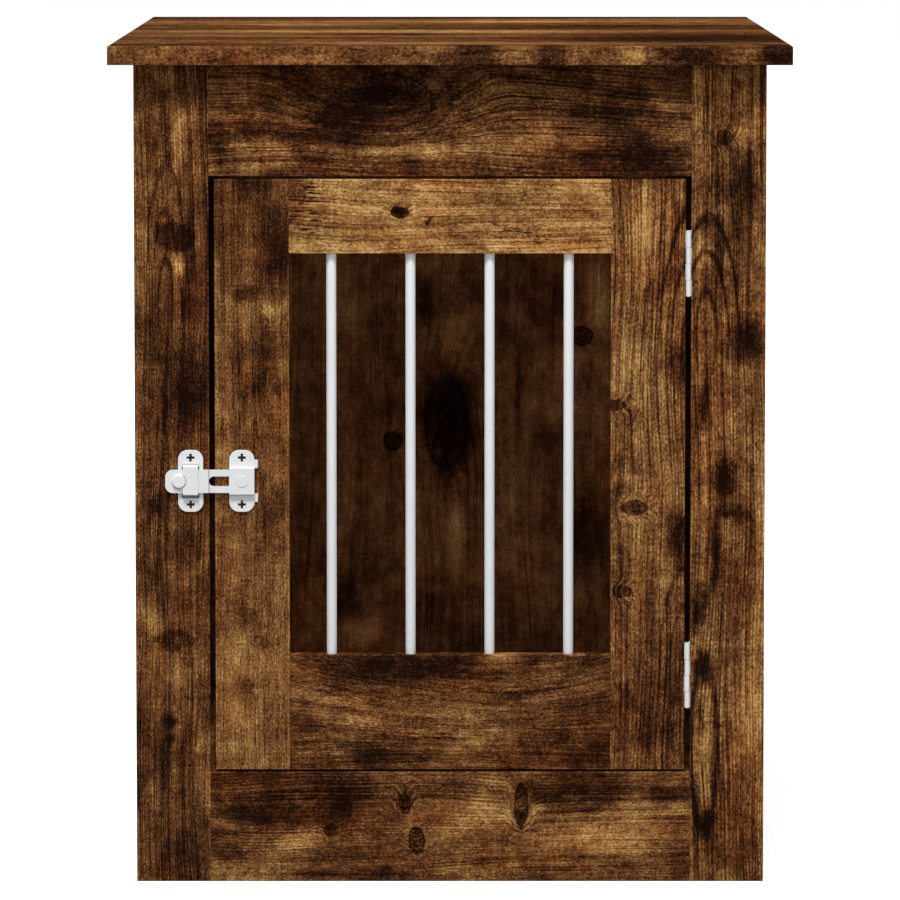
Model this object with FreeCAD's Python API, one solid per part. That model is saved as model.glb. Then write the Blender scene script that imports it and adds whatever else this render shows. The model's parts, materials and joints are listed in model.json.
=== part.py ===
"""Pet crate built as a piece of furniture: board frames, steel bars, a hinged door and a slide latch.

Millimetres. Seen from the door, X runs to the right, Y to the back and Z up.
The origin is on the ground under the middle of the top panel.
"""
import FreeCAD, Part
import os

V = FreeCAD.Vector
X, Y, Z = V(1, 0, 0), V(0, 1, 0), V(0, 0, 1)
full_turn = 360

# Cabinet
top_width = 550.0
top_depth = 800.0
total_height = 680.0
board = 15.0                  # thickness of every board
overhang = 20.0               # top panel past the body, all round
stile_width = 60.0
top_rail_height = 90.0
bottom_rail_height = 90.0
floor_lift = 30.0             # ground to the underside of the floor panel
floor_gap = 0.4               # play round the floor panel
edge_ease = 0.4               # chamfer on board edges
overrun = 1.0                 # how far a cut runs past the surface it opens

# Door
door_side_gap = 4.8
door_top_gap = 2.5
door_bottom_gap = 2.0
door_stile_width = 60.0
door_top_rail_height = 60.0
door_bottom_rail_height = 94.0

# Bars
bar_diameter = 8.0
door_bar_count = 4
side_bar_count = 9
bar_end_space = 34.2          # side of a window to the middle of its first bar
bar_seat = 10.0               # length of a bar's end inside a rail
bar_fit = 0.1
bar_end_gap = 0.5

# Dowels
dowel_diameter = 8.0
dowel_length = 30.0
dowel_fit = 0.05
dowel_end_gap = 0.5
dowel_shares = (0.25, 0.75)   # places along the height of a rail

# Cam fittings
cam_diameter = 15.0
cam_skin = 3.0                # board left behind a disc's pocket
cam_sink = 0.3                # face of a disc below the board's face
cam_fit = 0.1
cam_setback = 34.0            # joint face to the centre of a disc
cam_slot_length = 9.0
cam_slot_width = 1.6
cam_slot_depth = 2.2
bolt_thread_radius = 3.0
bolt_thread_length = 11.0
bolt_shank_radius = 3.5
bolt_neck_radius = 2.2
bolt_neck_length = 5.0
bolt_head_radius = 3.2
bolt_head_length = 4.0
bolt_thread_fit = 0.05
bolt_fit = 0.3
corner_cam_shares = (0.2, 0.8)
rail_cam_shares = (0.22, 0.78)

# Hinges
hinge_length = 52.5
upper_hinge_drop = 42.0       # door top to the top of the upper hinge
lower_hinge_rise = 51.0       # door bottom to the bottom of the lower hinge
knuckle_count = 4
knuckle_gap = 0.3
barrel_radius = 2.1
barrel_relief = 0.4
pin_radius = 0.9
pin_fit = 0.05
pin_head_radius = 1.6
pin_head_height = 0.6
leaf_thickness = 1.0
leaf_depth = 13.0
hinge_screw_spacing = 26.0
hinge_screw_setback = 7.5     # front face to the hinge screws
hinge_screw_head_radius = 2.5
hinge_screw_shank_radius = 1.3
hinge_screw_length = 15.0
hinge_recess_length = 2.6
hinge_recess_width = 0.7
hinge_recess_depth = 0.6

# Latch
latch_height = 328.0          # ground to the middle of the latch
latch_inset = 15.0            # doorway edge to the middle of the base plate
keeper_inset = 21.7           # door edge to the middle of the keeper
plate_width = 20.4
plate_length = 50.4
plate_corner = 8.0
plate_thickness = 1.5
plate_ease = 0.4
strap_width = 12.4
strap_sheet = 1.2
strap_head_room = 2.1         # bolt's upper edge to the strap's upper leg
strap_head_splay = 0.6        # spread of the upper leg from shoulder to foot
strap_foot_splay = 4.0        # spread of the lower leg
strap_round = 1.1
lance_slit = 0.8              # open cut beside the strap
crease_width = 0.7            # pressed line along the strap's upper bend
crease_depth = 0.6
bridge_splay = 0.6
bridge_round = 0.8
slide_gap = 0.3               # play in front of and behind the bolt
side_play = 0.5               # play above and below the bolt
bolt_half_height = 9.4
bolt_body_thickness = 2.7
bolt_tongue_thickness = 1.7
bolt_tail = 20.4              # base plate middle to the bolt's rounded end
bolt_step = 14.9              # base plate middle to the step down to the tongue
bolt_corner = 6.0
tongue_engage = 5.0           # tongue inside the keeper
tongue_clear = 1.4            # drawn tongue short of the door edge
tongue_corner = 1.5
slot_width = 7.9
slot_land = 3.0               # tongue left past the slot's end
nib_radius = 1.2
nib_height = 1.1
nib_offset = 8.0              # base plate middle to the stop nib
nib_drop = 5.6                # latch middle down to the stop nib
nib_play = 0.3
groove_side_play = 0.4
groove_depth = 1.2
knob_radius = 5.7
knob_height = 2.2
knob_round = 1.2
knob_offset = 9.4             # base plate middle to the knob
knob_clear = 0.5
knob_stem_radius = 2.0
knob_stem_fit = 0.05
ear_length = 2.8
ear_height = 7.1
ear_offset = 13.7             # latch middle to the middle of an ear
ear_corner = 1.0
emboss_radius = 4.8
emboss_height = 0.4
emboss_round = 0.3
latch_screw_offset = 19.1
latch_screw_head_radius = 4.0
latch_screw_shank_radius = 1.75
latch_screw_length = 13.0
latch_recess_length = 6.4
latch_recess_width = 2.0
latch_recess_depth = 0.6
screw_fit = 0.05
screw_end_gap = 0.5

# Planes and spans worked out from the sizes above
body_width = top_width - 2 * overhang
body_depth = top_depth - 2 * overhang
body_height = total_height - board
x_outer = body_width / 2
x_inner = x_outer - board
x_doorway = x_outer - stile_width
x_door = x_doorway - door_side_gap
x_window = x_door - door_stile_width
y_front = -body_depth / 2
y_back = body_depth / 2
y_cabin = y_back - board
y_side_window = y_cabin - stile_width
z_rails = (bottom_rail_height, body_height - top_rail_height)
z_door = (z_rails[0] + door_bottom_gap, z_rails[1] - door_top_gap)
z_window = (z_door[0] + door_bottom_rail_height, z_door[1] - door_top_rail_height)
front_span = (y_front, y_front + board)
back_span = (y_cabin, y_back)
front_middle = y_front + board / 2
x_hinge = x_doorway - door_side_gap / 2

solids = {}                   # node name: its solids
bores = {}                    # node name: what is cut out of it


def add(node, *shapes):
    """Put solids in a node."""
    solids.setdefault(node, []).extend(shapes)


def bore(nodes, shape):
    """Note a shape to be cut out of each of the nodes."""
    for node in nodes:
        bores.setdefault(node, []).append(shape)


def block(x, y, z):
    """A box from its three spans."""
    return Part.makeBox(x[1] - x[0], y[1] - y[0], z[1] - z[0], V(x[0], y[0], z[0]))


def span(a, b):
    """Two values in rising order."""
    return (min(a, b), max(a, b))


def rod(start, axis, radius, length):
    return Part.makeCylinder(radius, length, start, axis)


def placed(shape, start, axis):
    """Move a shape made on Z at the origin to a start point and an axis."""
    shape.Placement = FreeCAD.Placement(start, FreeCAD.Rotation(Z, axis))
    return shape


def turned(profile, start, axis):
    """Solid turned from (radius, distance along the axis) points."""
    points = [V(radius, 0, along) for radius, along in profile]
    face = Part.Face(Part.makePolygon(points + points[:1]))
    return placed(face.revolve(V(), Z, full_turn), start, axis)


def cross_recess(start, axis, length, width, depth):
    """Cross for a driver, sunk against the axis."""
    z = (-depth, overrun)
    arms = [block((-a / 2, a / 2), (-b / 2, b / 2), z) for a, b in ((length, width), (width, length))]
    return placed(arms[0].fuse(arms[1]), start, axis)


def edges_along(shape, axis):
    """Straight edges that run along an axis."""
    lines = [edge for edge in shape.Edges if edge.Curve.TypeId == "Part::GeomLine"]
    return [edge for edge in lines if edge.Curve.Direction.cross(axis).Length < edge.Tolerance]


def edges_at(shape, axis, place, axis_of_edge):
    """Edges along one axis whose middle lies at a place on another."""
    return [edge for edge in edges_along(shape, axis_of_edge)
            if abs(edge.CenterOfMass.dot(axis) - place) < edge.Tolerance]


# Boards

def make_board(node, x, y, z):
    """Flat board with eased edges."""
    box = block(x, y, z)
    add(node, box.makeChamfer(edge_ease, box.Edges))


def make_panels():
    """Top, back and floor."""
    make_board("top_panel", (-top_width / 2, top_width / 2), (-top_depth / 2, top_depth / 2),
               (body_height, total_height))
    make_board("back_panel", (-x_outer, x_outer), back_span, (0, body_height))
    make_board("floor_panel", (floor_gap - x_inner, x_inner - floor_gap),
               (floor_gap - y_cabin, y_cabin - floor_gap), (floor_lift, floor_lift + board))


def make_front_frame():
    """Two stiles and two rails round the doorway."""
    make_board("front_left_stile", (-x_outer, -x_doorway), front_span, (0, body_height))
    make_board("front_right_stile", (x_doorway, x_outer), front_span, (0, body_height))
    make_board("front_top_rail", (-x_doorway, x_doorway), front_span, (z_rails[1], body_height))
    make_board("front_bottom_rail", (-x_doorway, x_doorway), front_span, (0, z_rails[0]))


def make_side_frame(side, sign):
    """Stiles and rails of one side, with its row of bars."""
    x = span(sign * x_inner, sign * x_outer)
    make_board(side + "_front_stile", x, (-y_cabin, -y_side_window), (0, body_height))
    make_board(side + "_rear_stile", x, (y_side_window, y_cabin), (0, body_height))
    make_board(side + "_top_rail", x, (-y_side_window, y_side_window), (z_rails[1], body_height))
    make_board(side + "_bottom_rail", x, (-y_side_window, y_side_window), (0, z_rails[0]))
    middle = V(sign * (x_outer - board / 2), 0, 0)
    make_bars(side, side_bar_count, middle, Y, y_side_window, z_rails)


def make_door_frame():
    """Stiles and rails of the door, with its row of bars."""
    make_board("door_latch_stile", (-x_door, -x_window), front_span, z_door)
    make_board("door_hinge_stile", (x_window, x_door), front_span, z_door)
    make_board("door_top_rail", (-x_window, x_window), front_span, (z_window[1], z_door[1]))
    make_board("door_bottom_rail", (-x_window, x_window), front_span, (z_door[0], z_window[0]))
    make_bars("door", door_bar_count, V(0, front_middle, 0), X, x_window, z_window)


def make_bars(frame, count, middle, along, half_window, z):
    """Evenly spaced upright bars in a window, one node each, seated in the rails above and below."""
    rails = (frame + "_bottom_rail", frame + "_top_rail")
    first = bar_end_space - half_window
    pitch = -2 * first / (count - 1)
    low = z[0] - bar_seat
    length = z[1] - z[0] + 2 * bar_seat
    for i in range(count):
        foot = middle + along * (first + i * pitch)
        add(frame + "_bar_" + str(i + 1), rod(foot + Z * low, Z, bar_diameter / 2, length))
        socket = rod(foot + Z * (low - bar_end_gap), Z, bar_diameter / 2 + bar_fit, length + 2 * bar_end_gap)
        bore(rails, socket)


# Dowels

def dowel(node, boards, centre, axis):
    """Dowel across the joint of two boards."""
    radius = dowel_diameter / 2
    start = centre - axis * (dowel_length / 2)
    add(node, rod(start, axis, radius, dowel_length))
    bore(boards, rod(start - axis * dowel_end_gap, axis, radius + dowel_fit, dowel_length + 2 * dowel_end_gap))


def dowel_joint(node, stile, rail, joint, axis, z):
    """Row of dowels where a rail of height span z meets a stile."""
    for share in dowel_shares:
        dowel(node, (stile, rail), joint + Z * (z[0] + share * (z[1] - z[0])), axis)


def make_dowels():
    """Dowels of the front frame, the side frames and the door."""
    low, high = (0, z_rails[0]), (z_rails[1], body_height)
    for side, sign in (("left", -1), ("right", 1)):
        joint = V(sign * x_doorway, front_middle, 0)
        dowel_joint("dowels", "front_" + side + "_stile", "front_top_rail", joint, X, high)
        dowel_joint("dowels", "front_" + side + "_stile", "front_bottom_rail", joint, X, low)
        for end, y in (("front", -y_side_window), ("rear", y_side_window)):
            joint = V(sign * (x_outer - board / 2), y, 0)
            stile = side + "_" + end + "_stile"
            dowel_joint("dowels", stile, side + "_top_rail", joint, Y, high)
            dowel_joint("dowels", stile, side + "_bottom_rail", joint, Y, low)
    for stile, sign in (("door_latch_stile", -1), ("door_hinge_stile", 1)):
        joint = V(sign * x_window, front_middle, 0)
        dowel_joint("door_dowels", stile, "door_top_rail", joint, X, (z_window[1], z_door[1]))
        dowel_joint("door_dowels", stile, "door_bottom_rail", joint, X, (z_door[0], z_window[0]))


# Cam fittings

def cam_bolt_profile():
    """Thread, shank, neck and head, from the thread's end."""
    shank_end = bolt_thread_length + cam_setback - bolt_head_length / 2 - bolt_neck_length
    head_start = shank_end + bolt_neck_length
    head_end = head_start + bolt_head_length
    return [(0, 0), (bolt_thread_radius, 0), (bolt_thread_radius, bolt_thread_length),
            (bolt_shank_radius, bolt_thread_length), (bolt_shank_radius, shank_end), (bolt_neck_radius, shank_end),
            (bolt_neck_radius, head_start), (bolt_head_radius, head_start), (bolt_head_radius, head_end),
            (0, head_end)]


def cam_joint(holder, other, joint, inward, outward):
    """Disc in the holder's face, with a bolt across the joint into the other board.

    The joint point lies in the middle of the holder's edge. Inward points along the bolt into the holder,
    and outward out of the face in which the disc shows.
    """
    centre = joint + inward * cam_setback
    pocket_depth = board - cam_skin
    floor = centre + outward * (board / 2 - pocket_depth)
    disc_height = pocket_depth - cam_sink
    channel_radius = bolt_shank_radius + bolt_fit
    channel = rod(joint - inward * overrun, inward, channel_radius, cam_setback + overrun + bolt_head_length)
    cross = cross_recess(floor + outward * disc_height, outward, cam_slot_length, cam_slot_width, cam_slot_depth)
    add("cam_discs", rod(floor, outward, cam_diameter / 2, disc_height).cut([channel, cross]))
    bore((holder,), rod(floor, outward, cam_diameter / 2 + cam_fit, pocket_depth + overrun))
    bore((holder,), rod(joint - inward * overrun, inward, channel_radius, cam_setback + overrun))
    foot = joint - inward * bolt_thread_length
    add("cam_bolts", turned(cam_bolt_profile(), foot, inward))
    thread_hole = rod(foot, inward, bolt_thread_radius + bolt_thread_fit, bolt_thread_length + overrun)
    bore((other,), thread_hole)


def make_cams():
    """Fittings that join the side frames to front, back and top, and the floor to the sides."""
    for side, sign in (("left", -1), ("right", 1)):
        inside = X * -sign
        x = sign * (x_outer - board / 2)
        for share in corner_cam_shares:
            z = share * body_height
            cam_joint(side + "_front_stile", "front_" + side + "_stile", V(x, -y_cabin, z), Y, inside)
            cam_joint(side + "_rear_stile", "back_panel", V(x, y_cabin, z), -Y, inside)
        for share in rail_cam_shares:
            y = (2 * share - 1) * y_side_window
            cam_joint(side + "_top_rail", "top_panel", V(x, y, body_height), -Z, inside)
            edge = V(sign * x_inner, y, floor_lift + board / 2)
            cam_joint("floor_panel", side + "_bottom_rail", edge, inside, -Z)


# Screws

def screw_profile(head_radius, shank_radius, length, grow):
    """Countersunk head, shank and point, from the head's face."""
    cone = head_radius - shank_radius
    return [(0, 0), (head_radius + grow, 0), (shank_radius + grow, cone),
            (shank_radius + grow, length - shank_radius), (0, length)]


def screw(node, boards, start, axis, sizes, recess):
    """Screw driven along the axis, with its seat in each of the boards."""
    head_radius, shank_radius, length = sizes
    body = turned(screw_profile(head_radius, shank_radius, length, 0), start, axis)
    add(node, body.cut(cross_recess(start, -axis, *recess)))
    bore(boards, turned(screw_profile(head_radius, shank_radius, length + screw_end_gap, screw_fit), start, axis))


# Hinges

def knuckle_spans(z):
    """Height spans of the knuckles of one hinge, from the bottom."""
    step = (z[1] - z[0]) / knuckle_count
    return [(z[0] + i * step + knuckle_gap / 2, z[0] + (i + 1) * step - knuckle_gap / 2)
            for i in range(knuckle_count)]


def hinge_leaf(sign, z, knuckles):
    """Plate on the edge of a board, with a neck to each of its own knuckles."""
    x = span(x_hinge + sign * door_side_gap / 2, x_hinge + sign * (door_side_gap / 2 - leaf_thickness))
    clear = y_front + barrel_radius + barrel_relief
    leaf = block(x, (clear, y_front + leaf_depth), z)
    for low, high in knuckles:
        neck = block(x, (y_front, clear), (low, high))
        barrel = rod(V(x_hinge, y_front, low), Z, barrel_radius, high - low)
        leaf = leaf.fuse([neck, barrel])
    pin_hole = rod(V(x_hinge, y_front, z[0]), Z, pin_radius + pin_fit, z[1] - z[0])
    return leaf.removeSplitter().cut(pin_hole)


def hinge_pin(z):
    """Pin with a small head at each end."""
    profile = [(0, -pin_head_height), (pin_head_radius, -pin_head_height), (pin_head_radius, 0), (pin_radius, 0),
               (pin_radius, z[1] - z[0]), (pin_head_radius, z[1] - z[0]),
               (pin_head_radius, z[1] - z[0] + pin_head_height), (0, z[1] - z[0] + pin_head_height)]
    return turned(profile, V(x_hinge, y_front, z[0]), Z)


def make_hinge(place, low):
    """One butt hinge in the gap beside the door."""
    z = (low, low + hinge_length)
    knuckles = knuckle_spans(z)
    sides = (("frame", 1, "front_right_stile", knuckles[0::2]), ("door", -1, "door_hinge_stile", knuckles[1::2]))
    sizes = (hinge_screw_head_radius, hinge_screw_shank_radius, hinge_screw_length)
    recess = (hinge_recess_length, hinge_recess_width, hinge_recess_depth)
    for side, sign, stile, own in sides:
        node = place + "_hinge_" + side + "_leaf"
        add(node, hinge_leaf(sign, z, own))
        x = x_hinge + sign * (door_side_gap / 2 - leaf_thickness)
        for way in (-1, 1):
            start = V(x, y_front + hinge_screw_setback, low + hinge_length / 2 + way * hinge_screw_spacing / 2)
            screw(side + "_hinge_screws", (node, stile), start, X * sign, sizes, recess)
    add(place + "_hinge_pin", hinge_pin(z))


# Latch

base_x = -x_doorway - latch_inset
keeper_x = -x_door + keeper_inset
tip_x = keeper_x - plate_width / 2 + tongue_engage
latch_travel = tip_x + x_door + tongue_clear
bolt_back = plate_thickness + slide_gap
strap_under = bolt_back + bolt_body_thickness + slide_gap
bridge_under = bolt_back + bolt_tongue_thickness + slide_gap
channel_half = bolt_half_height + side_play
# Legs over the bolt: latch middle to the inside of the shoulder, and spread of the foot
strap_upper_leg = (bolt_half_height + strap_head_room, strap_head_splay)
strap_lower_leg = (channel_half, strap_foot_splay)
bridge_leg = (channel_half, bridge_splay)


def plate(x, length, round_corner):
    """Plate with rounded corners, standing on the front face."""
    box = block((x - plate_width / 2, x + plate_width / 2), (y_front - plate_thickness, y_front),
                (latch_height - length / 2, latch_height + length / 2))
    return box.makeFillet(round_corner, edges_along(box, Y))


def hat(x, width, under, upper_leg, lower_leg, outer_round):
    """Sheet bent up over the bolt: two splayed legs and a flat top."""
    top = under + strap_sheet
    high, high_foot = upper_leg[0], sum(upper_leg)
    low, low_foot = lower_leg[0], sum(lower_leg)
    outline = [(high_foot + strap_sheet, 0), (high + strap_sheet, top), (-low - strap_sheet, top),
               (-low_foot - strap_sheet, 0), (-low_foot, 0), (-low, under), (high, under), (high_foot, 0)]
    points = [V(x - width / 2, y_front - out, latch_height + up) for up, out in outline]
    bent = Part.Face(Part.makePolygon(points + points[:1])).extrude(X * width)
    shoulders = [edge for edge in edges_along(bent, X)
                 if abs(edge.CenterOfMass.y - y_front + top) < edge.Tolerance]
    return bent.makeFillet(outer_round, shoulders)


def lanced_window(x, width, upper_leg, lower_leg):
    """Hole in a plate where the sheet over the bolt was bent up."""
    return block((x - width / 2, x + width / 2), (y_front - plate_thickness - overrun, y_front + overrun),
                 (latch_height - sum(lower_leg), latch_height + sum(upper_leg)))


def crease(x, width, foot):
    """Shallow line pressed into a plate's face above the foot of a leg."""
    face = y_front - plate_thickness
    return block((x - width / 2, x + width / 2), (face - overrun, face + crease_depth),
                 (latch_height + foot, latch_height + foot + crease_width))


def eased_front(solid, out):
    """Ease the edges that lie in a plane in front of the front face."""
    rim = [edge for edge in solid.Edges if abs(edge.BoundBox.YMin - y_front + out) < edge.Tolerance
           and abs(edge.BoundBox.YMax - y_front + out) < edge.Tolerance]
    return solid.makeFillet(plate_ease, rim)


def make_latch_base():
    """Plate on the stile, with the strap that guides the bolt and a nib that stops it."""
    base = eased_front(plate(base_x, plate_length, plate_corner), plate_thickness)
    slit_width = strap_width + 2 * lance_slit
    base = base.cut(lanced_window(base_x, slit_width, strap_upper_leg, strap_lower_leg))
    base = base.cut(crease(base_x, slit_width, sum(strap_upper_leg) + strap_sheet))
    base = base.fuse(hat(base_x, strap_width, strap_under, strap_upper_leg, strap_lower_leg, strap_round))
    nib_foot = V(base_x - nib_offset, y_front, latch_height - nib_drop)
    nib = rod(nib_foot, -Y, nib_radius, bolt_back + nib_height)
    notch_start = V(base_x - knob_offset, y_front - strap_under + slide_gap, latch_height)
    notch = rod(notch_start, -Y, knob_radius + knob_clear, strap_sheet + slide_gap + overrun)
    add("latch_base", base.fuse(nib).cut(notch).removeSplitter())
    latch_screws("latch_base_screws", ("latch_base", "front_left_stile"), base_x)


def make_latch_keeper():
    """Plate on the door, with a bridge over the tongue and two ears."""
    sheet = plate(keeper_x, plate_length, plate_corner)
    right = keeper_x + plate_width / 2
    for way in (-1, 1):
        middle = latch_height + way * ear_offset
        ear = block((right - ear_corner, right + ear_length), (y_front - plate_thickness, y_front),
                    (middle - ear_height / 2, middle + ear_height / 2))
        tips = edges_at(ear, X, right + ear_length, Y)
        sheet = sheet.fuse(ear.makeFillet(ear_corner, tips))
    sheet = eased_front(sheet.removeSplitter(), plate_thickness)
    keeper = sheet.cut(lanced_window(keeper_x, plate_width + overrun, bridge_leg, bridge_leg))
    keeper = keeper.fuse(hat(keeper_x, plate_width, bridge_under, bridge_leg, bridge_leg, bridge_round))
    bridge_top = bridge_under + strap_sheet
    emboss = rod(V(keeper_x, y_front - bridge_top, latch_height), -Y, emboss_radius, emboss_height)
    emboss = eased_disc(emboss, bridge_top + emboss_height, emboss_round)
    add("latch_keeper", keeper.fuse(emboss).removeSplitter())
    latch_screws("latch_keeper_screws", ("latch_keeper", "door_latch_stile"), keeper_x)


def eased_disc(disc, out, radius):
    """Round the front rim of a disc."""
    rim = [edge for edge in disc.Edges if abs(edge.BoundBox.YMax - y_front + out) < radius / 2]
    return disc.makeFillet(radius, rim)


def latch_screws(node, boards, x):
    """Screw above and below the bolt."""
    sizes = (latch_screw_head_radius, latch_screw_shank_radius, latch_screw_length)
    recess = (latch_recess_length, latch_recess_width, latch_recess_depth)
    for way in (-1, 1):
        start = V(x, y_front - plate_thickness, latch_height + way * latch_screw_offset)
        screw(node, boards, start, Y, sizes, recess)


def make_latch_bolt():
    """Flat bolt: thick body with a rounded end, thin slotted tongue, groove for the nib behind."""
    z = (latch_height - bolt_half_height, latch_height + bolt_half_height)
    back = y_front - bolt_back
    step_x = base_x + bolt_step
    body = block((base_x - bolt_tail, step_x), (back - bolt_body_thickness, back), z)
    body = body.makeFillet(bolt_corner, edges_at(body, X, base_x - bolt_tail, Y))
    tongue = block((step_x - bolt_corner, tip_x), (back - bolt_tongue_thickness, back), z)
    tongue = tongue.makeFillet(tongue_corner, edges_at(tongue, X, tip_x, Y))
    slot_x = (step_x + slot_width / 2, tip_x - slot_land)
    slot_y = (back - bolt_tongue_thickness - overrun, back + overrun)
    slot = block(slot_x, slot_y, (latch_height - slot_width / 2, latch_height + slot_width / 2))
    slot_end = rod(V(slot_x[0], slot_y[0], latch_height), Y, slot_width / 2, slot_y[1] - slot_y[0])
    nib_x = base_x - nib_offset
    reach = nib_radius + nib_play
    groove_half = nib_radius + groove_side_play
    nib_z = latch_height - nib_drop
    groove = block((nib_x - reach, nib_x + latch_travel + reach), (back - groove_depth, back + overrun),
                   (nib_z - groove_half, nib_z + groove_half))
    add("latch_bolt", body.fuse(tongue).removeSplitter().cut([slot, slot_end, groove]))


def make_latch_knob():
    """Round thumb piece with a stem through the bolt."""
    front = bolt_back + bolt_body_thickness
    centre = V(base_x - knob_offset, y_front - front, latch_height)
    head = eased_disc(rod(centre, -Y, knob_radius, knob_height), front + knob_height, knob_round)
    stem = rod(centre, Y, knob_stem_radius, bolt_body_thickness)
    add("latch_knob", head.fuse(stem))
    bore(("latch_bolt",), rod(centre, Y, knob_stem_radius + knob_stem_fit, bolt_body_thickness))


# Build

def finished(node):
    """The node's solids with every bore cut."""
    if node not in bores:
        return solids[node]
    return [solid for shape in solids[node] for solid in shape.cut(bores[node]).Solids]


def main():
    make_panels()
    make_front_frame()
    make_side_frame("left", -1)
    make_side_frame("right", 1)
    make_door_frame()
    make_dowels()
    make_cams()
    make_hinge("upper", z_door[1] - upper_hinge_drop - hinge_length)
    make_hinge("lower", z_door[0] + lower_hinge_rise)
    make_latch_base()
    make_latch_keeper()
    make_latch_bolt()
    make_latch_knob()
    os.makedirs("parts", exist_ok=True)
    for node in solids:
        Part.makeCompound(finished(node)).exportStep("parts/" + node + ".step")


main()
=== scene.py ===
"""Looks of a furniture-style pet crate: smoked oak boards, pale coated steel and a white studio.

Boards, hinges, latch and fittings keep the frame's own solids and get painted finishes. The bars are
smoother rods that stand for their solids.
"""
import json
import math

import bpy
import numpy as np
from bpy.props import FloatProperty, FloatVectorProperty, IntProperty, PointerProperty
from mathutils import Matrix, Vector

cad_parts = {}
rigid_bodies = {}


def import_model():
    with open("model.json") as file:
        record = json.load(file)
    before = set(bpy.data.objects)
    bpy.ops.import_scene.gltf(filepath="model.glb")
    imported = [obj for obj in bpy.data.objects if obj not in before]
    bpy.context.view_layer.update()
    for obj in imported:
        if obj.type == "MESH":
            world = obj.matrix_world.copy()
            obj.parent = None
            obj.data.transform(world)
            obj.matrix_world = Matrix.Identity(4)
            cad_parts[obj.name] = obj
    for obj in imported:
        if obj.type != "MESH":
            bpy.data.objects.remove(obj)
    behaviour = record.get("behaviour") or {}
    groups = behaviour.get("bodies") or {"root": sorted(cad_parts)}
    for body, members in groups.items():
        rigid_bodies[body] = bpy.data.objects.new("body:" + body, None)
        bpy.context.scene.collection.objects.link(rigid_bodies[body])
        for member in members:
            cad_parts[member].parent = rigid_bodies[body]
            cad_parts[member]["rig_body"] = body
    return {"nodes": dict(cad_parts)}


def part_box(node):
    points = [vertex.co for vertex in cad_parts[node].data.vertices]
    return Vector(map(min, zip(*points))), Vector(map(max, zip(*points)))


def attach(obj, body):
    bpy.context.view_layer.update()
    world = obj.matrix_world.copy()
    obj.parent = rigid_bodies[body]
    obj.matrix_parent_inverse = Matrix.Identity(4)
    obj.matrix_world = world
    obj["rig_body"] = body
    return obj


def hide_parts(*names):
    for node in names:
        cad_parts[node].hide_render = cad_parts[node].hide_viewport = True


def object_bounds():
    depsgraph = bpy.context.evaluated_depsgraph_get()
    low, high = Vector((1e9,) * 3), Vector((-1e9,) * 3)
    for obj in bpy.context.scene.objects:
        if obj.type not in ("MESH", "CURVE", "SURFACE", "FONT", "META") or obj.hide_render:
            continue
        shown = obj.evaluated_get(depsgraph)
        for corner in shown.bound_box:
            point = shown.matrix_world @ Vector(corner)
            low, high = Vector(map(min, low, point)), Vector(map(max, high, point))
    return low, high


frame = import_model()
cad_low, cad_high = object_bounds()

bl_info = {
    "name": "Pet crate",
    "version": (1, 0, 0),
    "blender": (4, 5, 0),
    "location": "View3D > Sidebar > Crate",
    "description": "Finishes, bars, fittings and studio of a furniture-style pet crate",
    "category": "Object",
}

MM = 0.001
AXES = {"x": 0, "y": 1, "z": 2}


# Settings

def srgb(red, green, blue):
    """Linear colour of a display colour given from 0 to 255."""
    shares = np.array([red, green, blue]) / 255
    return tuple(np.where(shares <= 0.04045, shares / 12.92, ((shares + 0.055) / 1.055) ** 2.4))


def colour(name, words, value):
    """Colour setting of a property group."""
    return FloatVectorProperty(name=name, description=words, subtype="COLOR", size=3, min=0, max=1,
                               default=srgb(*value))


def length(name, words, value):
    """Length setting in metres."""
    return FloatProperty(name=name, description=words, default=value, subtype="DISTANCE")


def share(name, words, value):
    """Setting from nothing to all."""
    return FloatProperty(name=name, description=words, default=value, min=0, max=1, subtype="FACTOR")


def power(name, words, value):
    """Power setting of a lamp in watts."""
    return FloatProperty(name=name, description=words, default=value, subtype="POWER")


def spot(name, words, value):
    """Place setting in metres."""
    return FloatVectorProperty(name=name, description=words, default=value, size=3, subtype="TRANSLATION")


class CrateWood(bpy.types.PropertyGroup):
    """Colours and grain of the smoked oak boards."""

    char: colour("Char", "Cracks and the hearts of knots", (26, 14, 8))
    smoke: colour("Smoke", "Dark smoked patches", (51, 29, 16))
    bark: colour("Bark", "Dark brown grain", (81, 49, 27))
    oak: colour("Oak", "Middle brown of the boards", (117, 77, 44))
    honey: colour("Honey", "Light brown grain", (152, 111, 62))
    straw: colour("Straw", "Pale worn fibres", (188, 148, 90))
    pale: colour("Pale", "Bleached fibres on the lightest boards", (214, 178, 122))
    ring_pitch: length("Ring pitch", "Width of the broad growth rings", 9.0 * MM)
    line_pitch: length("Line pitch", "Width of the irregular grain lines", 2.4 * MM)
    comb_pitch: length("Comb pitch", "Spacing of the even brushed lines", 2.5 * MM)
    fibre_pitch: length("Fibre pitch", "Width of single fibres", 0.9 * MM)
    drift: length("Drift", "How far the grain wanders across a board", 30.0 * MM)
    # Painted highlight: width of the lighter line along each board's long edges
    edge_highlight: length("Edge wear", "Width of the lighter line along board edges", 1.4 * MM)
    ruddy: share("Ruddy", "How red the reddest patches turn", 1.0)
    roughness: share("Roughness", "Roughness of the satin surface", 0.6)
    shine: share("Shine", "Mirror part of the matt lacquer", 0.0)
    relief: length("Relief", "Depth of the pressed grain", 0.1 * MM)


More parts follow.
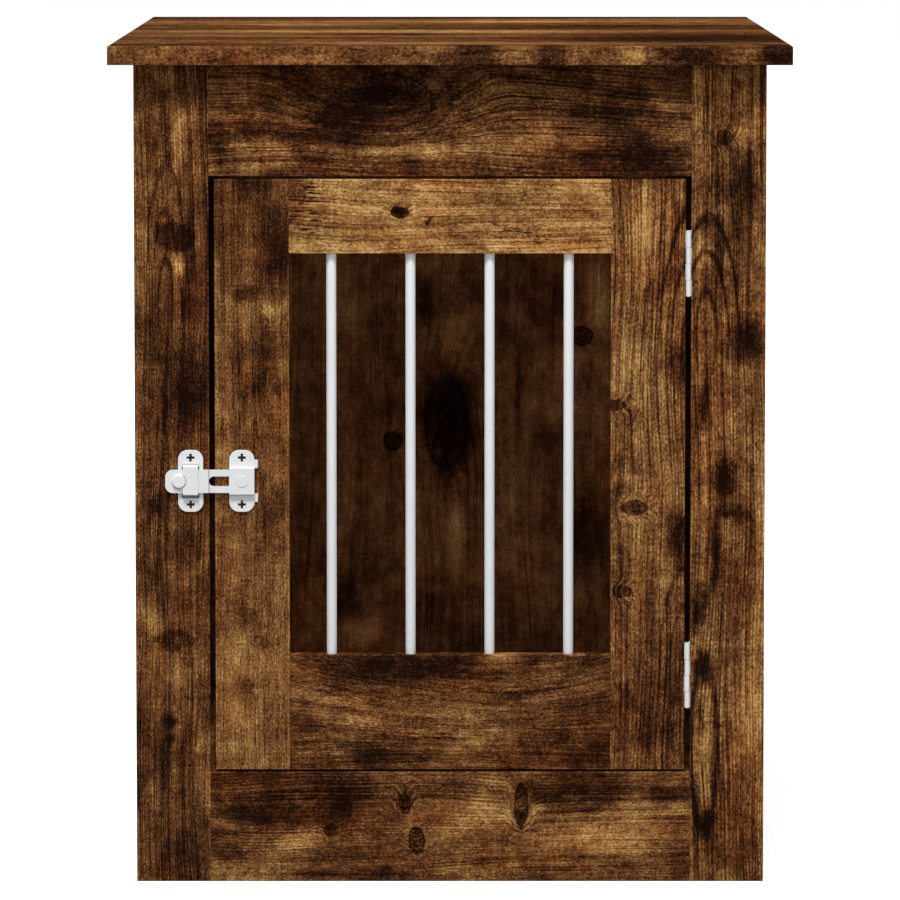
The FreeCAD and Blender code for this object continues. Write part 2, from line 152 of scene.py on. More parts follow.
class CrateSteel(bpy.types.PropertyGroup):
    """Coated and plated metal, and raw dowels."""

    bar_coat: colour("Bar coat", "Powder coat of the bars", (229, 230, 231))
    plate_coat: colour("Plate coat", "Coat of the latch and hinges", (226, 228, 228))
    # Painted shade colour: used in screw recesses, on the latch's undersides and at the bolt's step
    recess: colour("Recess", "Dark driver recess of a screw", (18, 18, 19))
    zinc: colour("Zinc", "Plating of the cam fittings and hinge screws", (150, 152, 154))
    beech: colour("Beech", "Raw dowel wood", (196, 158, 112))
    coat_roughness: share("Coat roughness", "Roughness of the powder coat", 0.42)
    peel: length("Peel", "Depth of the coat's fine texture", 0.015 * MM)
    # Painted shade: how far the latch's downward faces darken toward the recess colour
    underside_shade: share("Underside", "How dull the latch's downward faces are", 0.85)
    # Painted shade: a dark line across the bolt at its step, with its strength, half width and place
    seam: share("Seam", "How dull the seam at the bolt's step is", 0.8)
    step_shade_width: length("Seam width", "Half width of the dull seam at the bolt's step", 0.5 * MM)
    step_shade_reach: length("Seam reach", "Right edge of the latch plate to the bolt's step", 4.7 * MM)
    # Painted shade in a screw's recess: the depths at which it starts and at which it is full
    recess_top: length("Recess top", "Depth at which a screw's recess starts to darken", 0.12 * MM)
    recess_floor: length("Recess floor", "Depth at which a screw's recess is dark", 0.45 * MM)
    bar_sides: IntProperty(name="Bar sides", description="Faces round a bar", default=48, min=8)
    bar_round: length("Bar rounding", "Rounding of a bar's end rim", 0.8 * MM)


class CrateStage(bpy.types.PropertyGroup):
    """Camera, lamps and floor."""

    distance: length("Distance", "Front of the top panel to the camera", 5.061)
    height: length("Height", "Height of the camera", 0.8542)
    tilt: FloatProperty(name="Tilt", description="How far the camera looks down",
                        default=math.radians(5.632), subtype="ANGLE")
    lens: FloatProperty(name="Lens", description="Focal length on the sensor", default=252.3, unit="CAMERA")
    sensor: FloatProperty(name="Sensor", description="Width of the sensor", default=36.0, unit="CAMERA")
    ambient: FloatProperty(name="Ambient", description="Strength of the light all round",
                           default=0.42, min=0)
    key: power("Key", "Power of the soft lamp above the front", 390.0)
    key_size: length("Key size", "Side of the soft lamp", 1.3)
    key_place: spot("Key place", "Middle of the soft lamp", (-0.7, -3.5, 6.0))
    fill: power("Fill", "Power of the broad lamp at the front right", 40.0)
    fill_size: length("Fill size", "Side of the broad lamp", 2.5)
    fill_place: spot("Fill place", "Middle of the broad lamp", (2.5, -5.5, 1.8))
    floor: colour("Floor", "Pale studio floor", (240, 240, 240))
    floor_bounce: colour("Floor bounce", "Floor as it lights the crate from below", (150, 150, 150))
    floor_lift: FloatProperty(name="Floor lift", description="Light added to the floor in the picture",
                              default=0.76, min=0)
    floor_reach: length("Floor reach", "Half width of the floor", 20.0)


# Materials

class Paint:
    """Node tree of a material or world: each method adds to it and gives the result."""

    def __init__(self, owner):
        owner.use_nodes = True
        self.owner = owner
        self.tree = owner.node_tree
        self.tree.nodes.clear()

    def put(self, kind, sockets=(), **settings):
        """One node with its settings, its sockets linked or set."""
        node = self.tree.nodes.new(kind)
        for key, value in settings.items():
            setattr(node, key, value)
        for key, value in dict(sockets).items():
            if isinstance(value, bpy.types.NodeSocket):
                self.tree.links.new(value, node.inputs[key])
            else:
                node.inputs[key].default_value = value
        return node

    def place(self):
        """Place on the object, in metres."""
        return self.put("ShaderNodeTexCoord").outputs["Object"]

    def parts(self, vector):
        """The x, y and z of a vector."""
        return self.put("ShaderNodeSeparateXYZ", {0: vector}).outputs

    def joined(self, *parts):
        """Vector of an x, y and z."""
        return self.put("ShaderNodeCombineXYZ", enumerate(parts)).outputs[0]

    def math(self, operation, *values):
        """Result of a calculation with numbers."""
        return self.put("ShaderNodeMath", enumerate(values), operation=operation).outputs[0]

    def vector(self, operation, *values):
        """Result of a calculation with vectors."""
        outputs = self.put("ShaderNodeVectorMath", enumerate(values), operation=operation).outputs
        return outputs["Value"] if operation == "LENGTH" else outputs["Vector"]

    def noise(self, place, detail=2.0, roughness=0.5, result="Fac"):
        """Noise with one cell to each unit of place."""
        sockets = {"Vector": place, "Scale": 1.0, "Detail": detail, "Roughness": roughness}
        return self.put("ShaderNodeTexNoise", sockets).outputs[result]

    def ramp(self, value, start, end, low=0.0, high=1.0):
        """Smooth step of a value from start to end, between low and high."""
        sockets = {"Value": value, "From Min": start, "From Max": end, "To Min": low, "To Max": high}
        return self.put("ShaderNodeMapRange", sockets, interpolation_type="SMOOTHSTEP").outputs["Result"]

    def gap(self, value, level):
        """How far a value lies from a level, either way."""
        return self.math("ABSOLUTE", self.math("SUBTRACT", value, level))

    def total(self, start, *terms):
        """Start plus each value times its weight."""
        for value, weight in terms:
            start = self.math("MULTIPLY_ADD", value, weight, start)
        return start

    def colours(self, value, stops):
        """Colour read from (position, colour) stops."""
        node = self.put("ShaderNodeValToRGB", {"Fac": value})
        elements = node.color_ramp.elements
        while len(elements) < len(stops):
            elements.new(0.5)
        for element, (position, shade) in zip(elements, stops):
            element.position = position
            element.color = (*shade, 1.0)
        return node.outputs["Color"]

    def mottled(self, value, shade, dark):
        """Shade that goes down to a dark share of itself where a noise is low."""
        return self.colours(value, ((0.3, [channel * dark for channel in shade]), (0.7, shade)))

    def tinted(self, mask, shade, tint, blend="MIX"):
        """Shade with a tint blended in by a mask."""
        sockets = {"Factor": mask, "A": shade, "B": tint}
        return self.put("ShaderNodeMix", sockets, data_type="RGBA", blend_type=blend).outputs["Result"]

    def bump(self, height, distance):
        """Normal bent by a height."""
        sockets = {"Height": height, "Distance": distance, "Strength": 1.0}
        return self.put("ShaderNodeBump", sockets).outputs[0]

    def surface(self, **sockets):
        """Principled surface; names are the sockets' with underscores."""
        sockets = {key.replace("_", " "): value for key, value in sockets.items()}
        shader = self.put("ShaderNodeBsdfPrincipled", sockets)
        self.put("ShaderNodeOutputMaterial", {"Surface": shader.outputs[0]})
        return self.owner


def new_paint(name):
    """Paint of a new material."""
    return Paint(bpy.data.materials.new(name))


# Wood

# Marks: kind, place along and across the board from its low corner, half length along and across, strength.
# A stain darkens softly, a patch with an edge, a glow lightens, a knot darkens in rings and bends the grain
# round itself, a swirl only bends it, a flame is nested ring lines that are open at one end, an eye is pale
# with a dark outline, and scars are black cracks. Sizes in millimetres.
MARKS = {
    "front_top_rail": (
        ("knot", 139, 66, 13, 8, 0.16), ("stain", 134, 58, 62, 30, 0.3), ("stain", 104, 40, 36, 18, 0.34),
        ("glow", 160, 20, 50, 9, 0.34), ("stain", 343, 16, 46, 20, 0.36), ("stain", 331, 48, 56, 24, 0.26),
        ("glow", 270, 34, 50, 20, 0.16), ("stain", 250, 80, 70, 10, 0.14), ("scars", 73, 28, 12, 15, 0.8),
        ("stain", 10, 16, 10, 14, 0.34), ("glow", 42, 20, 44, 16, 0.2), ("swirl", 140, 62, 46, 24, 1.3),
        ("flame", 140, 60, 66, 40, 0.16)),
    "door_top_rail": (
        ("knot", 90, 33, 8, 5, 0.6), ("stain", 90, 33, 9, 5, 0.6), ("scars", 16, 36, 14, 32, 1.3),
        ("scars", 190, 16, 30, 9, 1.3), ("glow", 228, 52, 24, 10, 0.16), ("stain", 139, 17, 26, 13, 0.12),
        ("stain", 4, 50, 14, 40, 0.3), ("stain", 112, 26, 3, 2.5, 0.6), ("stain", 20, 30, 40, 40, 0.1)),
    "door_latch_stile": (
        ("stain", 424, 50, 42, 18, 0.42), ("glow", 374, 44, 7, 7, 0.36), ("stain", 388, 25, 8, 13, 0.36),
        ("knot", 104, 36, 6, 7, 0.12), ("knot", 68, 26, 5, 6, 0.12), ("stain", 476, 30, 14, 16, 0.26),
        ("glow", 70, 30, 80, 34, 0.1), ("stain", 330, 28, 44, 26, 0.24), ("stain", 270, 20, 34, 18, 0.2),
        ("stain", 200, 44, 40, 16, 0.14), ("scars", 300, 30, 60, 26, 0.2)),
    "door_hinge_stile": (
        ("knot", 214, 19, 6, 11, 0.36), ("stain", 189, 52, 26, 14, 0.42), ("knot", 298, 4, 5, 8, 0.36),
        ("knot", 146, 9, 5, 8, 0.36), ("glow", 331, 10, 44, 18, 0.2), ("glow", 440, 22, 60, 20, 0.2),
        ("stain", 40, 28, 64, 40, 0.34), ("flame", 352, 66, 130, 30, 0.36),
        ("flame", 60, 62, 130, 28, 0.26), ("stain", 330, 54, 30, 14, 0.26)),
    "front_left_stile": (
        ("patch", 526, 33, 11, 18, 0.28), ("patch", 526, 42, 10, 9, 0.14), ("stain", 592, 28, 26, 5, 0.3),
        ("patch", 198, 32, 8, 16, 0.28), ("stain", 130, 27, 9, 7, 0.44), ("stain", 117, 28, 6, 6, 0.4),
        ("stain", 306, 15, 12, 8, 0.42), ("stain", 276, 43, 26, 16, 0.32), ("glow", 614, 38, 30, 7, 0.3),
        ("glow", 503, 37, 11, 6, 0.36), ("stain", 400, 44, 62, 20, 0.34), ("stain", 384, 24, 50, 3, 0.34),
        ("glow", 216, 14, 16, 10, 0.26), ("glow", 112, 52, 14, 10, 0.26), ("stain", 92, 24, 34, 6, 0.2),
        ("glow", 172, 24, 58, 34, 0.16), ("stain", 20, 30, 34, 40, 0.22), ("flame", 470, 26, 126, 20, 0.24)),
    "front_right_stile": (
        ("stain", 328, 27, 26, 11, 0.66), ("stain", 568, 43, 34, 15, 0.4), ("stain", 445, 44, 26, 17, 0.52),
        ("stain", 389, 10, 20, 5, 0.46), ("stain", 500, 40, 40, 16, 0.26), ("glow", 510, 10, 20, 10, 0.26),
        ("knot", 606, 26, 6, 7, 0.28), ("stain", 270, 20, 34, 5, 0.46), ("stain", 300, 34, 10, 16, 0.4),
        ("glow", 296, 30, 4, 9, 0.3), ("stain", 226, 9, 20, 10, 0.34), ("flame", 444, 14, 120, 30, 0.4),
        ("eye", 112, 11, 66, 11, 0.4), ("stain", 134, 10, 16, 3, 0.34), ("stain", 47, 15, 12, 6, 0.5),
        ("glow", 160, 46, 70, 10, 0.16), ("stain", 182, 9, 12, 8, 0.26), ("stain", 214, 6, 22, 5, 0.3)),
    "door_bottom_rail": (
        ("stain", 90, 84, 96, 18, 0.42), ("glow", 172, 88, 20, 13, 0.3), ("scars", 122, 27, 56, 4, 0.6),
        ("stain", 72, 10, 34, 12, 0.32), ("glow", 53, 40, 38, 14, 0.2), ("stain", 181, 62, 18, 5, 0.34),
        ("swirl", 150, 96, 80, 40, 0.9), ("glow", 150, 24, 18, 7, 0.2), ("flame", 150, 112, 130, 66, 0.16),
        ("stain", 236, 20, 40, 20, 0.14)),
    "front_bottom_rail": (
        ("knot", 168, 34, 7, 11, 0.46), ("knot", 253, 62, 6, 19, 0.46), ("stain", 107, 66, 12, 13, 0.2),
        ("knot", 158, 64, 5, 9, 0.34), ("knot", 98, 42, 6, 5, 0.34), ("patch", 62, 72, 74, 30, 0.36),
        ("patch", 16, 40, 44, 22, 0.22), ("glow", 322, 34, 74, 24, 0.38), ("stain", 372, 71, 28, 9, 0.34),
        ("patch", 296, 76, 40, 20, 0.3), ("glow", 84, 34, 60, 9, 0.2), ("stain", 140, 4, 40, 12, 0.3),
        ("stain", 200, 4, 190, 4, 0.14)),
    "top_panel": (
        ("stain", 295, 0, 26, 40, 0.34), ("stain", 357, 0, 18, 40, 0.3), ("stain", 472, 0, 30, 40, 0.34),
        ("stain", 538, 0, 20, 60, 0.4), ("glow", 423, 0, 12, 20, 0.3), ("stain", 220, 300, 90, 40, 0.3),
        ("glow", 140, 560, 90, 60, 0.24), ("stain", 420, 520, 110, 40, 0.24),
        ("glow", 330, 640, 80, 50, 0.2), ("stain", 480, 220, 150, 170, 0.3), ("stain", 80, 70, 120, 50, 0.3),
        ("stain", 290, 800, 260, 50, 0.34), ("glow", 200, -4, 300, 14, 0.1),
        ("glow", 200, 420, 190, 120, 0.12)),
    "back_panel": (
        ("knot", 304, 252, 46, 22, 0.22), ("stain", 304, 252, 76, 36, 0.34),
        ("stain", 416, 233, 26, 14, 0.4), ("glow", 390, 262, 34, 20, 0.2), ("knot", 288, 202, 9, 9, 0.4),
        ("stain", 421, 345, 50, 24, 0.24), ("glow", 425, 392, 44, 16, 0.34), ("knot", 386, 376, 9, 12, 0.4),
        ("stain", 332, 318, 50, 4, 0.3), ("stain", 279, 342, 34, 18, 0.26), ("glow", 200, 261, 50, 9, 0.34),
        ("stain", 143, 155, 30, 16, 0.42), ("stain", 200, 383, 50, 24, 0.3), ("glow", 112, 174, 20, 22, 0.3),
        # The two long stains along the back panel's side edges, across 10 and 500, are painted shade in the
        # interior's corners
        ("flame", 230, 258, 100, 26, 0.22), ("stain", 330, 10, 420, 60, 0.5),
        ("stain", 330, 500, 420, 60, 0.5)),
}

# Marks strewn on a board that has no list: kind, square millimetres of board to each, half length along and
# across in millimetres, strength; then the most of a kind, and the range of their sizes and strengths
STREWN = (
    ("knot", 45000, 9, 9, 0.3),
    ("stain", 14000, 34, 15, 0.24),
    ("glow", 20000, 44, 13, 0.16),
    ("scars", 60000, 14, 12, 0.5),
)
MOST_STREWN = 10
STREWN_SIZES = (0.7, 1.4)
STREWN_STRENGTHS = (0.6, 1.1)

# Boards: axis along the grain, axis across it, mean tone from dark to light, strength of the grain lines,
# strength of long streaks, and strength of specks and fibres
BOARDS = {
    "top_panel": ("x", "y", 0.4, 0.4, 0.4, 1.0),
    "back_panel": ("z", "x", 0.505, 0.4, 0.0, 0.5),
    "floor_panel": ("y", "x", 0.44, 0.7, 0.0, 1.0),
    "front_left_stile": ("z", "x", 0.395, 0.75, 0.0, 1.0),
    "front_right_stile": ("z", "x", 0.53, 0.95, 0.0, 1.0),
    "front_top_rail": ("x", "z", 0.405, 0.75, 0.0, 1.0),
    "front_bottom_rail": ("x", "z", 0.48, 0.65, 0.0, 1.0),
    "door_latch_stile": ("z", "x", 0.525, 0.4, 0.0, 1.0),
    "door_hinge_stile": ("z", "x", 0.505, 0.85, 0.0, 1.0),
    "door_top_rail": ("x", "z", 0.78, 0.65, 0.0, 1.0),
    "door_bottom_rail": ("x", "z", 0.41, 0.65, 0.0, 1.0),
    "left_front_stile": ("z", "y", 0.44, 0.8, 0.0, 1.0),
    "left_rear_stile": ("z", "y", 0.47, 0.7, 0.0, 1.0),
    "left_top_rail": ("y", "z", 0.42, 0.7, 0.0, 1.0),
    "left_bottom_rail": ("y", "z", 0.46, 0.8, 0.0, 1.0),
    "right_front_stile": ("z", "y", 0.46, 0.7, 0.0, 1.0),
    "right_rear_stile": ("z", "y", 0.42, 0.8, 0.0, 1.0),
    "right_top_rail": ("y", "z", 0.45, 0.8, 0.0, 1.0),
    "right_bottom_rail": ("y", "z", 0.43, 0.7, 0.0, 1.0),
}

# Seed of the first board, and the furthest that a board's noise is shifted, in cells
FIRST_SEED = 7
MOST_SHIFT = 40

# Noise: cells to the metre along, across and through the board, detail, roughness
NOISES = {
    "torn": ((60, 90, 90), 5.0, 0.75),
    "wander": ((9, 16, 16), 2.0, 0.5),
    "drift": ((2.2, 7, 7), 2.0, 0.5),
    "patches": ((8, 14, 14), 4.0, 0.65),
    "streaks": ((1.2, 8, 8), 2.0, 0.5),
    "clouds": ((46, 56, 56), 5.0, 0.75),
    "specks": ((480, 620, 620), 1.0, 0.5),
    "saw": ((420, 34, 34), 2.0, 0.6),
    "pores": ((80, 800, 300), 1.0, 0.5),
    "dots": ((260, 330, 330), 1.0, 0.5),
    "tears": ((55, 420, 200), 3.0, 0.7),
    "ruddy": ((9, 22, 22), 5.0, 0.7),
}

# Noise whose width across the board is a setting: cells to the metre along and through, detail, roughness
GRAINS = {
    "rings": (1.6, 12, 3.0, 0.6),
    "lines": (3, 20, 2.0, 0.55),
    "fibres": (22, 300, 2.0, 0.6),
}

# Levels of a noise or tone between which a texture sets in, and half the width of a band in levels
LEVELS = {
    "tears": (0.55, 0.6), "pores": (0.6, 0.72), "dots": (0.68, 0.76), "comb": (0.38, 0.62),
    "ruddy": (0.42, 0.75), "rosy": (0.25, 0.85),
}
BAND_WIDTH = 0.04

# What each texture adds to a board's tone; the rim is a painted highlight along the board's long edges
SHARES = {
    "patches": 0.95, "clouds": 1.05, "saw": 0.2, "specks": 0.85, "fibres": 0.45, "rings": 0.6, "lines": 0.5,
    "pores": -0.2, "dots": -0.22, "bands": -0.32, "comb": 0.14, "rim": 0.1,
}

# Tone given back for what pores, dots and bands take, and tone between one wood colour and the next
TONE_LIFT = 0.08
TONE_STEP = 0.2

# Even brushed lines: how far the irregular lines upset them, in radians
COMB_UPSET = 4.5

# How far edges of marks wander along and across the grain: torn edges, those of knots and eyes, and flames
RAGGED = (22 * MM, 16 * MM)
FIRM = (6 * MM, 5 * MM)
FLOWING = (44 * MM, 16 * MM)

# Ring lines inside marks, as shares of the mark's half size: half the spacing, and half the width of a line
FLAME_RING = 0.14
FLAME_LINE = 0.065
KNOT_RING = 0.22
KNOT_LINE = 0.1
EYE_LINE = 0.3

# Reach from a mark's middle, in half sizes, at which it starts and at which it is full
FADES = {
    "flame": (1.3, 0.8), "knot": (1.15, 0.85), "knot_rings": (1.3, 1.0), "eye": (0.9, 0.3),
    "patch": (1.2, 0.75), "soft": (1.2, 0.15), "bend": (2.4, 0.2),
}

# Stretch along a flame, in half sizes, over which its rings set in from the open end
FLAME_OPENING = (-0.5, 0.3)

# Shares of a mark's strength: a knot's body and rings, and the pale inside of an eye
KNOT_BODY = 0.8
KNOT_RINGS = 0.6
EYE_INSIDE = 0.4

# How far a knot bends the grain, as a share of its half width
KNOT_BEND = 0.9

# How much smoother light lines and clouds are, and what each texture adds to the relief
SMOOTHER = 0.1
RELIEF = {"lines": 0.6, "fibres": 0.4, "pores": -0.5}

# Tint of ruddy patches, tint of rosy light grain, and the boards that have rosy grain, with its strength
RUDDY = (1.0, 0.73, 0.63, 1.0)
ROSE = (1.0, 0.72, 1.0, 1.0)
ROSY = {"back_panel": 0.5}


def strewn_marks(along, across, chance):
    """Knots, stains, glows and scars strewn over a board of the given size in millimetres."""
    marks = []
    for kind, area, half_along, half_across, strength in STREWN:
        for _ in range(max(1, min(MOST_STREWN, round(along * across / area)))):
            size = chance.uniform(*STREWN_SIZES)
            marks.append((kind, chance.uniform(0, along), chance.uniform(0, across), half_along * size,
                          half_across * size, strength * chance.uniform(*STREWN_STRENGTHS)))
    return marks


def mark_masks(paint, kind, local, reach, strength):
    """Masks of a mark, each with what it adds to the tone.

    Local is the place from the mark's middle in half sizes, and reach its length, which is 1 at the edge.
    """
    if kind == "flame":
        ring = paint.ramp(paint.math("PINGPONG", reach, FLAME_RING), FLAME_LINE, 0.0)
        open_end = paint.ramp(paint.parts(local)[0], *FLAME_OPENING)
        fade = paint.math("MULTIPLY", paint.ramp(reach, *FADES["flame"]), open_end)
        return [(paint.math("MULTIPLY", ring, fade), -strength)]
    if kind == "knot":
        ring = paint.ramp(paint.math("PINGPONG", reach, KNOT_RING), KNOT_LINE, 0.0)
        ring = paint.math("MULTIPLY", ring, paint.ramp(reach, *FADES["knot_rings"]))
        body = paint.ramp(reach, *FADES["knot"])
        return [(body, -strength * KNOT_BODY), (ring, -strength * KNOT_RINGS)]
    if kind == "eye":
        outline = paint.ramp(paint.gap(reach, 1.0), EYE_LINE, 0.0)
        return [(outline, -strength), (paint.ramp(reach, *FADES["eye"]), strength * EYE_INSIDE)]
    if kind == "patch":
        return [(paint.ramp(reach, *FADES["patch"]), -strength)]
    soft = paint.ramp(reach, *FADES["soft"])
    return [(soft, strength if kind == "glow" else -strength)]


def smoked_oak(node, wood, number):
    """Board finish: growth rings are noise along contour lines that bulge round knots.

    The place across the grain, moved by a slow drift and pushed outwards near each knot, is the contour
    value. Noise that is stretched far along the grain and fine across the contours gives rings, whose
    middle level is drawn as dark bands, and fine lines; a wave of the contour value gives brushed lines.
    Patches, marks, fibres and pores are added to the board's tone, and the sum picks the colour.
    """
    along, across, tone, grain, streak, fine = BOARDS[node]
    through = next(axis for axis in AXES if axis not in (along, across))
    low, high = (np.array(corner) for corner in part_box(node))
    start = np.array([low[AXES[along]], low[AXES[across]]])
    size = np.array([high[AXES[along]], high[AXES[across]]]) - start
    chance = np.random.RandomState(number)
    marks = MARKS.get(node) or strewn_marks(*(size / MM), chance)
    shift = chance.uniform(-MOST_SHIFT, MOST_SHIFT, 3)

    paint = new_paint("smoked_oak_" + node)
    parts = paint.parts(paint.place())
    run, side, depth = (parts[AXES[axis]] for axis in (along, across, through))
    board = paint.joined(run, side, depth)

    def stretched(per_metre, detail, roughness, source=board, result="Fac"):
        """Noise with its own number of cells to the metre in each direction of the board."""
        place = paint.vector("MULTIPLY_ADD", source, per_metre, shift)
        return paint.noise(place, detail, roughness, result)

    def grained(name, pitch, source):
        """Noise with cells that are a pitch wide across the source."""
        cells_along, cells_through, detail, roughness = GRAINS[name]
        return stretched((cells_along, 1 / pitch, cells_through), detail, roughness, source)

    def moved(noise, reach):
        """Place on the board carried along and across by noise, and how far it goes on average."""
        return paint.vector("MULTIPLY_ADD", noise, (*reach, 0), board), np.array(reach) / 2

    torn = stretched(*NOISES["torn"], result="Color")
    wander = stretched(*NOISES["wander"], result="Color")
    ragged = moved(torn, RAGGED)
    firm = moved(torn, FIRM)
    edges = {"flame": moved(wander, FLOWING), "knot": firm, "eye": firm}
    tears = paint.ramp(stretched(*NOISES["tears"]), *LEVELS["tears"])
    contour = paint.total(side, (stretched(*NOISES["drift"]), wood.drift * 2))
    mark_terms = []
    for kind, place_along, place_across, half_along, half_across, strength in marks:
        source, mean = edges.get(kind, ragged)
        centre = start + np.array([place_along, place_across]) * MM + mean
        half = np.array([half_along, half_across]) * MM
        local = paint.vector("MULTIPLY_ADD", source, (*(1 / half), 0), (*(-centre / half), 0))
        reach = paint.vector("LENGTH", local)
        if kind in ("knot", "swirl"):
            bend = half[1] * (strength if kind == "swirl" else KNOT_BEND)
            contour = paint.total(contour, (paint.ramp(reach, *FADES["bend"]), bend))
        if kind == "swirl":
            continue
        for mask, amount in mark_masks(paint, kind, local, reach, strength):
            if kind == "scars":
                mask = paint.math("MULTIPLY", mask, tears)
            mark_terms.append((mask, amount))

    lined = paint.joined(run, contour, depth)
    rings = grained("rings", wood.ring_pitch, lined)
    lines = grained("lines", wood.line_pitch, lined)
    fibres = grained("fibres", wood.fibre_pitch, board)
    patches = stretched(*NOISES["streaks" if streak else "patches"])
    clouds = stretched(*NOISES["clouds"])
    specks = stretched(*NOISES["specks"])
    saw = stretched(*NOISES["saw"])
    pores = paint.ramp(stretched(*NOISES["pores"]), *LEVELS["pores"])
    dots = paint.ramp(stretched(*NOISES["dots"]), *LEVELS["dots"])
    bands = paint.ramp(paint.gap(rings, 0.5), BAND_WIDTH, 0.0)
    wave = paint.total(paint.math("MULTIPLY", lines, COMB_UPSET), (contour, 2 * math.pi / wood.comb_pitch))
    comb = paint.math("MULTIPLY", paint.math("SINE", wave), paint.ramp(clouds, *LEVELS["comb"]))
    # Rim: painted highlight, lighter toward the board's long edges
    rim = paint.gap(side, start[1] + size[1] / 2)
    rim = paint.ramp(rim, size[1] / 2 - wood.edge_highlight, size[1] / 2)

    even = (
        (patches, SHARES["patches"] + streak), (clouds, SHARES["clouds"]), (saw, SHARES["saw"] * fine),
        (specks, SHARES["specks"] * fine), (fibres, SHARES["fibres"] * fine),
        (rings, SHARES["rings"] * grain), (lines, SHARES["lines"] * grain))
    sparse = (
        (pores, SHARES["pores"] * fine), (dots, SHARES["dots"] * fine), (bands, SHARES["bands"] * grain),
        (comb, SHARES["comb"] * grain))
    level = tone + TONE_LIFT - sum(weight for _, weight in even) / 2
    value = paint.total(level, *even, *sparse, *mark_terms, (rim, SHARES["rim"]))

    stops = (wood.char, wood.smoke, wood.bark, wood.oak, wood.honey, wood.straw, wood.pale)
    steps = len(stops) - 1
    shade = paint.colours(paint.math("DIVIDE", value, TONE_STEP * steps),
                          [(index / steps, stop) for index, stop in enumerate(stops)])
    ruddy = paint.ramp(stretched(*NOISES["ruddy"]), *LEVELS["ruddy"], 0.0, wood.ruddy)
    shade = paint.tinted(ruddy, shade, RUDDY, "MULTIPLY")
    if node in ROSY:
        rosy = paint.ramp(value, *LEVELS["rosy"], 0.0, ROSY[node])
        shade = paint.tinted(rosy, shade, ROSE, "MULTIPLY")
    gloss = paint.total(wood.roughness + SMOOTHER, (lines, -SMOOTHER), (clouds, -SMOOTHER))
    relief = paint.total(0.0, (lines, RELIEF["lines"]), (fibres, RELIEF["fibres"]), (pores, RELIEF["pores"]))
    return paint.surface(Base_Color=shade, Roughness=gloss, Specular_IOR_Level=wood.shine,
                         Normal=paint.bump(relief, wood.relief))


# Metal, dowels and floor

# Cells to the metre of each noise along x, y and z
COAT_MOTTLE = (45, 45, 45)
COAT_PEEL = (1600, 1600, 1600)
HEAD_MOTTLE = (900, 900, 900)
SCREW_STREAKS = (60, 900, 60)
CAM_STREAKS = (300, 300, 300)
DOWEL_STREAKS = (400, 400, 400)
FLOOR_GRAIN = (30, 30, 30)

# Shade of the darkest places of a finish, as a share of its colour
COAT_DARK = 0.95
STOCK_DARK = 0.75
FLOOR_DARK = 0.98

# How much the roughness of a finish varies
COAT_ROUGHER = 0.12
STOCK_ROUGHER = 0.2
HEAD_ROUGHER = 0.1

# Screw heads: roughness, mirror part, and how far the edge of the painted shade in the recess wanders
HEAD_ROUGHNESS = 0.35
HEAD_SHINE = 0.1
RECESS_WANDER = 0.1 * MM

# Height of a face's normal at which the painted shade on an underside starts and at which it is full
UNDERSIDE_SHADE_NORMALS = (-0.2, -0.8)


def powder_coat(name, shade, steel, downward_shade=0.0, seam=None):
    """Even coat with a faint mottle and a fine peel, with painted shade on downward faces and in a line
    across the x axis.
    """
    paint = new_paint(name)
    place = paint.place()
    mottle = paint.noise(paint.vector("MULTIPLY", place, COAT_MOTTLE), 3.0)
    peel = paint.noise(paint.vector("MULTIPLY", place, COAT_PEEL), 2.0)
    tint = paint.mottled(mottle, shade, COAT_DARK)
    dull = []
    # Painted shade on downward faces, fuller the more a face points down
    if downward_shade:
        normal = paint.put("ShaderNodeNewGeometry").outputs["True Normal"]
        dull.append(paint.ramp(paint.parts(normal)[2], *UNDERSIDE_SHADE_NORMALS, 0.0, downward_shade))
    # Painted shade in a line across the x axis at the bolt's step
    if seam is not None:
        reach = paint.gap(paint.parts(place)[0], seam)
        dull.append(paint.ramp(reach, steel.step_shade_width, 0.0, 0.0, steel.seam))
    # Each mask paints shade, darkening the coat toward the recess colour
    for mask in dull:
        tint = paint.tinted(mask, tint, (*steel.recess, 1.0))
    gloss = paint.total(steel.coat_roughness - COAT_ROUGHER / 2, (mottle, COAT_ROUGHER))
    return paint.surface(Base_Color=tint, Roughness=gloss, Normal=paint.bump(peel, steel.peel))


def plated(name, shade, per_metre, metallic, roughness):
    """Plain stock with streaks, whose cells to the metre are given for each axis."""
    paint = new_paint(name)
    streaks = paint.noise(paint.vector("MULTIPLY", paint.place(), per_metre), 3.0, 0.6)
    tint = paint.mottled(streaks, shade, STOCK_DARK)
    gloss = paint.total(roughness, (streaks, STOCK_ROUGHER))
    return paint.surface(Base_Color=tint, Roughness=gloss, Metallic=metallic)


def shaded_screw_head(name, face, steel):
    """Coated head with painted shade in its recess, darker below the head's face, which is a place on the y
    axis.
    """
    paint = new_paint(name)
    place = paint.place()
    mottle = paint.noise(paint.vector("MULTIPLY", place, HEAD_MOTTLE), 2.0)
    # Painted shade: darker the deeper a place lies below the head's face
    depth = paint.total(paint.gap(paint.parts(place)[1], face), (mottle, RECESS_WANDER))
    tint = paint.colours(paint.ramp(depth, steel.recess_top, steel.recess_floor),
                         ((0.0, steel.plate_coat), (1.0, steel.recess)))
    gloss = paint.total(HEAD_ROUGHNESS, (mottle, HEAD_ROUGHER))
    return paint.surface(Base_Color=tint, Roughness=gloss, Specular_IOR_Level=HEAD_SHINE)


# Pieces

def dress(node, material):
    """Give a CAD node its finish."""
    mesh = frame["nodes"][node].data
    mesh.materials.clear()
    mesh.materials.append(material)


def named(*ends):
    """Nodes whose names end in one of the words."""
    return [node for node in frame["nodes"] if node.endswith(ends)]


